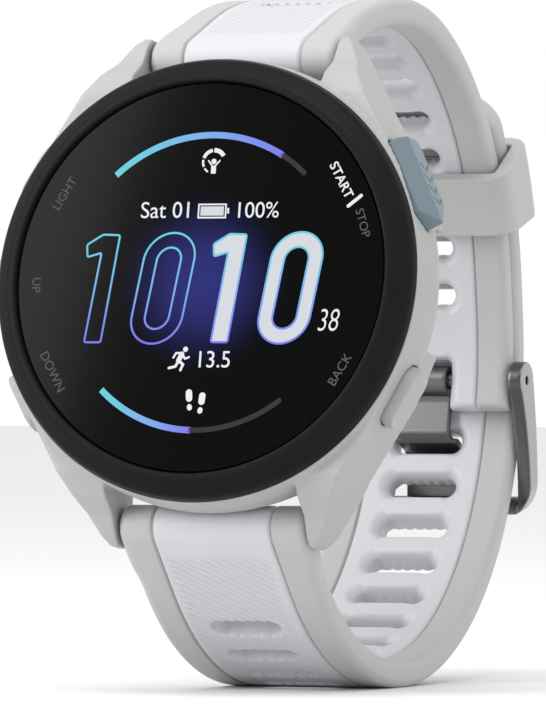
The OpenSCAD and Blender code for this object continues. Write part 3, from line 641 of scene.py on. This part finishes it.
def strap_mesh(strap, u_list, x_of, top, bottom, slots=(), notch=None,
               rounded_start=False):
    """A strap piece: an outer and an inner skin on one grid, joined round every edge.

    x_of(u) gives the grid's places across at u. Cells inside a slot are left out, and the
    points round it are moved on to its outline."""
    u = np.array(u_list, float)
    x = np.array([x_of(value) for value in u])
    u = np.repeat(u[:, None], x.shape[1], 1)
    rows, columns = u.shape
    keep = np.ones((rows - 1, columns - 1), bool)
    if len(slots):
        mid_u = (u[:-1, :-1] + u[1:, 1:]) / 2
        mid_x = (x[:-1, :-1] + x[1:, 1:]) / 2
        keep = slot_distance(mid_u, mid_x, slots, notch) > 0
        padded = np.pad(keep, 1, constant_values=True)
        corners = [padded[:-1, :-1], padded[1:, :-1], padded[:-1, 1:], padded[1:, 1:]]
        rim = ~np.logical_and.reduce(corners) & np.logical_or.reduce(corners)
        for _ in range(3):
            gap = slot_distance(u, x, slots, notch)
            nudge = 1e-3
            slope_u = (slot_distance(u + nudge, x, slots, notch) - gap) / nudge
            slope_x = (slot_distance(u, x + nudge, slots, notch) - gap) / nudge
            slope_u[[0, -1]] = 0
            u = np.where(rim, u - gap * slope_u, u)
            x = np.where(rim, x - gap * slope_x, x)
    outer = strap.place(u, x, top(u, x)).reshape(-1, 3)
    inner = strap.place(u, x, bottom(u, x)).reshape(-1, 3)
    index = np.arange(rows * columns).reshape(rows, columns)
    cells = np.stack([index[:-1, :-1], index[1:, :-1], index[1:, 1:], index[:-1, 1:]], -1)[keep]
    shift = rows * columns
    faces = [tuple(c) for c in cells] + [tuple(c[::-1] + shift) for c in cells]
    sides = {}
    for c in cells:
        for a, b in zip(c, np.roll(c, -1)):
            sides[(a, b)] = (b, a) not in sides
            if (b, a) in sides:
                sides[(b, a)] = False
    edge = [(a, b) for (a, b), single in sides.items() if single]
    points = [outer, inner]
    skip = set()
    total = 2 * shift
    if rounded_start:
        row, row_u, row_x = index[0], u[0], x[0]
        skip = set(zip(row[:-1], row[1:])) | set(zip(row[1:], row[:-1]))
        high, low = top(row_u, row_x), bottom(row_u, row_x)
        middle, radius = (high + low) / 2, (high - low) / 2
        heading = np.interp(row_u, strap.gone, strap.heads)
        rows_before = row
        for angle in np.linspace(0, math.pi, 13)[1:]:
            last = angle > math.pi - 1e-6
            if last:
                fresh = row + shift
            else:
                centre = strap.place(row_u, row_x, middle + radius * math.cos(angle))
                push = -radius * math.sin(angle)
                centre[:, 1] += push * np.cos(heading)
                centre[:, 2] += push * np.sin(heading) * strap.flip
                points.append(centre)
                fresh = np.arange(total, total + len(row))
                total += len(row)
            faces += [(rows_before[i], rows_before[i + 1], fresh[i + 1], fresh[i])
                      for i in range(len(row) - 1)]
            rows_before = fresh
    faces += [(b, a, a + shift, b + shift) for a, b in edge if (a, b) not in skip]
    return stood("strap", np.concatenate(points), [tuple(int(i) for i in f) for f in faces])


rib_pitch, rib_rise, rib_lean = 0.82, 0.3, 0.75
rib_start, rib_end, rib_side = (1.2, 3.2), (0.5, 3.0), (0.5, 1.4)   # where the ribs fade in
seam, seam_depth = 0.26, 0.32
pin_place = 71.94           # the buckle pin, along the upper strap
pin_notch = (pin_place - 2.05, 3.1, 0.6)


def seam_groove(gap):
    """Depth of the fine groove along a seam, at a distance from it."""
    return seam_depth * np.clip(1 - gap / seam, 0, 1) ** 1.3


def smooth_step(value, low, high):
    t = np.clip((value - low) / (high - low), 0, 1)
    return t * t * (3 - 2 * t)


def end_drop(reach):
    """How far a strap's faces draw in at its cut end."""
    return 0.4 * np.clip(1 - reach / 0.5, 0, 1) ** 2


def core_piece(name, strap, slots, end, notch=None):
    drop = end_drop if notch else (lambda reach: 0 * reach)

    def x_of(u):
        return np.linspace(-core_half, core_half, 83)

    def top(u, x):
        fade = smooth_step(u, *rib_start) * smooth_step(end - u, *rib_end)
        fade = fade * smooth_step(core_half - np.abs(x), *rib_side)
        wave = 0.5 - 0.5 * np.cos(2 * math.pi * (u + rib_lean * x * strap.flip) / rib_pitch)
        gap = slot_distance(u, x, slots, notch)
        lip = 0.12 * np.clip(1 - np.maximum(gap, 0) / 0.2, 0, 1) ** 2
        return (band_thickness / 2 - rib_rise * fade * wave ** 1.7 - lip
                - seam_groove(core_half - np.abs(x)) - drop(end - u))

    def bottom(u, x):
        gap = np.maximum(slot_distance(u, x, slots, notch), 0)
        wide = 0.5 + 0.6 * smooth_step(np.abs(x), slot_half - 0.2, slot_half + 1.0)
        scoop = 0.8 * np.clip(1 - gap / wide, 0, 1) ** 2
        return (-band_thickness / 2 - knuckle_swell(u) + scoop
                + seam_groove(core_half - np.abs(x)) + drop(end - u))

    rows = np.arange(0, end + 0.07, 0.15)
    rows[-1] = end
    mesh = strap_mesh(strap, rows, x_of, top, bottom, slots, notch, rounded_start=True)
    return new_piece(name, mesh, band_white, "watch", "band_white", smooth=55)


def silicone(name, colour, roughness):
    """Silicone: a soft matt skin with a faint satin sheen and the least unevenness."""
    return moulded(name, colour, roughness, grain=2600, depth=0.1, mottle=0.015, sheen=0.12)


band_white = silicone("band_white", (0.53, 0.54, 0.565), 0.38)
band_grey = silicone("band_grey", (0.415, 0.415, 0.41), 0.5)


border_round = 0.9          # radius of the border's outer edges


def border_rise(gap):
    """How far the border's face drops near its rounded outer edge."""
    near = np.clip(gap, 0, border_round)
    return border_round - np.sqrt(np.maximum(border_round ** 2 - (border_round - near) ** 2, 0))


def border_edge(u):
    """Half the strap's width, which grows towards its spring bar."""
    return border_half + (knuckle_half - border_half) * (1 - smooth_step(u, 2.5, 6.5))


def border_x(side, u):
    outer = border_edge(u)
    round_part = outer - border_round * (1 - np.sin(np.linspace(0, math.pi / 2, 9)))
    flat_part = np.concatenate([core_half + np.array((0, 0.06, 0.12, 0.22)),
                                np.linspace(core_half + 0.5, outer - 1.1, 5)])
    return side * np.concatenate([flat_part, round_part])


def border_piece(name, strap, side, end, drop):
    def top(u, x):
        gap = border_edge(u) - np.abs(x)
        return (band_thickness / 2 - border_rise(gap)
                - seam_groove(np.abs(x) - core_half) - drop * end_drop(end - u))

    def bottom(u, x):
        gap = border_edge(u) - np.abs(x)
        return (-band_thickness / 2 - knuckle_swell(u) + border_rise(gap)
                + seam_groove(np.abs(x) - core_half) + drop * end_drop(end - u))

    rows = np.append(np.arange(0, end - 0.6, 0.4), end - np.array((0.5, 0.35, 0.22, 0.1, 0)))
    mesh = strap_mesh(strap, rows, lambda u: border_x(side, u), top, bottom,
                      rounded_start=True)
    return new_piece(name, mesh, band_grey, "watch", "band_grey")


core_end = lower_strap.length - tip_reach
upper_core = core_piece("upper_core", upper_strap, upper_slots, upper_strap.length, pin_notch)
lower_core = core_piece("lower_core", lower_strap, lower_slots, core_end)
upper_left = border_piece("upper_border_left", upper_strap, -1, upper_strap.length, 1)
border_piece("upper_border_right", upper_strap, 1, upper_strap.length, 1)
lower_left = border_piece("lower_border_left", lower_strap, -1, core_end, 0)
border_piece("lower_border_right", lower_strap, 1, core_end, 0)
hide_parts("upper_band_core")
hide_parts("lower_band_core")
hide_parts("upper_band_rails")
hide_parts("lower_band_rails")


def tip_mesh():
    """The border's rounded tip, which closes the end of the core."""
    start, end = core_end, lower_strap.length
    curve = 5.5

    def half(u):
        t = np.clip((u - (end - curve)) / curve, 0, 1)
        return border_half * np.sqrt(np.maximum(1 - t ** 2.2, 0.0004))

    def x_of(u):
        return half(u) * np.sin(np.linspace(-math.pi / 2, math.pi / 2, 49))

    def gap_at(u, x):
        sideways = half(u) - np.abs(x)
        return np.minimum(sideways, end - u + 0.02)

    def top(u, x):
        groove = np.where(np.abs(x) < core_half, seam_groove(u - start), 0)
        return band_thickness / 2 - border_rise(gap_at(u, x)) - groove

    def bottom(u, x):
        groove = np.where(np.abs(x) < core_half, seam_groove(u - start), 0)
        return -band_thickness / 2 + border_rise(gap_at(u, x)) + groove

    t = np.linspace(0, 1, 40)
    rows = np.concatenate([start + (0, 0.06, 0.12, 0.22, 0.6, 1.2), end - curve
                           + curve * np.sin(t * math.pi / 2)])
    return strap_mesh(lower_strap, rows, x_of, top, bottom)


new_piece("lower_border_tip", tip_mesh(), band_grey, "watch", "band_grey")


# --- Keeper ----------------------------------------------------------------------------------
# A loose silicone loop that holds the tip down. It slides along the band by hand.
new_piece("keeper_loop", eased("keeper", 0.12, 18), band_grey, "keeper", "band_grey", "keeper",
          smooth=60)


# --- Buckle ----------------------------------------------------------------------------------
# A bent steel frame and a broad pressed tongue on one pin, both brushed and darkened. The
# tongue goes through a slot of the band and rests on the frame's crossbar.
dark_steel = metal("dark_steel", (0.17, 0.17, 0.17), 0.3, brush=(60, 1, 1), scale=700)
# Painted light and shade: the frame's base colour is scaled by which way each face points,
# lighter on faces that point across the watch and darker on all the others
frame_steel_painted_shade = metal("frame_steel_painted_shade", (0.3, 0.3, 0.3), 0.28, brush=(1, 60, 60), scale=700)
tree, shader = nodes_of(frame_steel_painted_shade)
facing = add_node(tree, "ShaderNodeSeparateXYZ",
                  {"Vector": add_node(tree, "ShaderNodeNewGeometry").outputs["Normal"]})
sideways = add_node(tree, "ShaderNodeMath", {0: facing.outputs["X"]}, operation="ABSOLUTE")
facing_shade = add_node(tree, "ShaderNodeMapRange",
                   {"Value": sideways.outputs["Value"], "From Min": 0.55, "From Max": 0.95,
                    "To Min": 0.5, "To Max": 1.35})
grained_base = shader.inputs["Base Color"].links[0].from_socket
# Painted light and shade: the grained base colour times the facing factor
painted_facing_light = add_node(tree, "ShaderNodeVectorMath",
                  {0: grained_base, "Scale": facing_shade.outputs["Result"]}, operation="SCALE")
tree.links.new(painted_facing_light.outputs["Vector"], shader.inputs["Base Color"])
new_piece("frame_loop", eased("buckle_frame", 0.1, 12), frame_steel_painted_shade, "buckle_frame",
          "dark_steel", "buckle_frame", smooth=60)
new_piece("tongue_plate", eased("buckle_tongue", 0.08, 8), dark_steel, "buckle_tongue",
          "dark_steel", "buckle_tongue", smooth=60)
finish_node("buckle_pin", dark_steel, bevel=0.05)


# --- Floor and light -------------------------------------------------------------------------
# A pale sweep of paper and three soft lights: a broad one overhead, one from the left and a
# weaker one from the right.
floor_mesh = bpy.data.meshes.new("floor")
floor_mesh.from_pydata([(-3, -3, 0), (3, -3, 0), (3, 3, 0), (-3, 3, 0)], [], [(0, 1, 2, 3)])
paper = moulded("paper", (0.82, 0.82, 0.82), 0.9, grain=600, depth=0.02, mottle=0.002)
floor_mesh.materials.append(paper)
floor = bpy.data.objects.new("floor", floor_mesh)
bpy.context.collection.objects.link(floor)


def softbox(name, where, size, power, aim=(0, 0, 0.035)):
    lamp = bpy.data.lights.new(name, "AREA")
    lamp.shape = "RECTANGLE"
    lamp.size, lamp.size_y = size
    lamp.energy = power
    holder = bpy.data.objects.new(name, lamp)
    holder.location = where
    holder.rotation_euler = (Vector(aim) - Vector(where)).to_track_quat("-Z", "Y").to_euler()
    bpy.context.collection.objects.link(holder)


softbox("overhead", (0.0, -0.3, 0.65), (0.45, 0.35), 1.7)
softbox("left", (-0.5, -0.55, 0.32), (0.25, 0.5), 2.7)
softbox("right", (0.75, -0.1, 0.3), (0.3, 0.6), 0.4)
bpy.context.scene.view_settings.view_transform = "Standard"
world = bpy.data.worlds.new("studio")
bpy.context.scene.world = world
world.use_nodes = True
world.node_tree.nodes["Background"].inputs["Color"].default_value = (1, 1, 1, 1)
world.node_tree.nodes["Background"].inputs["Strength"].default_value = 1.0
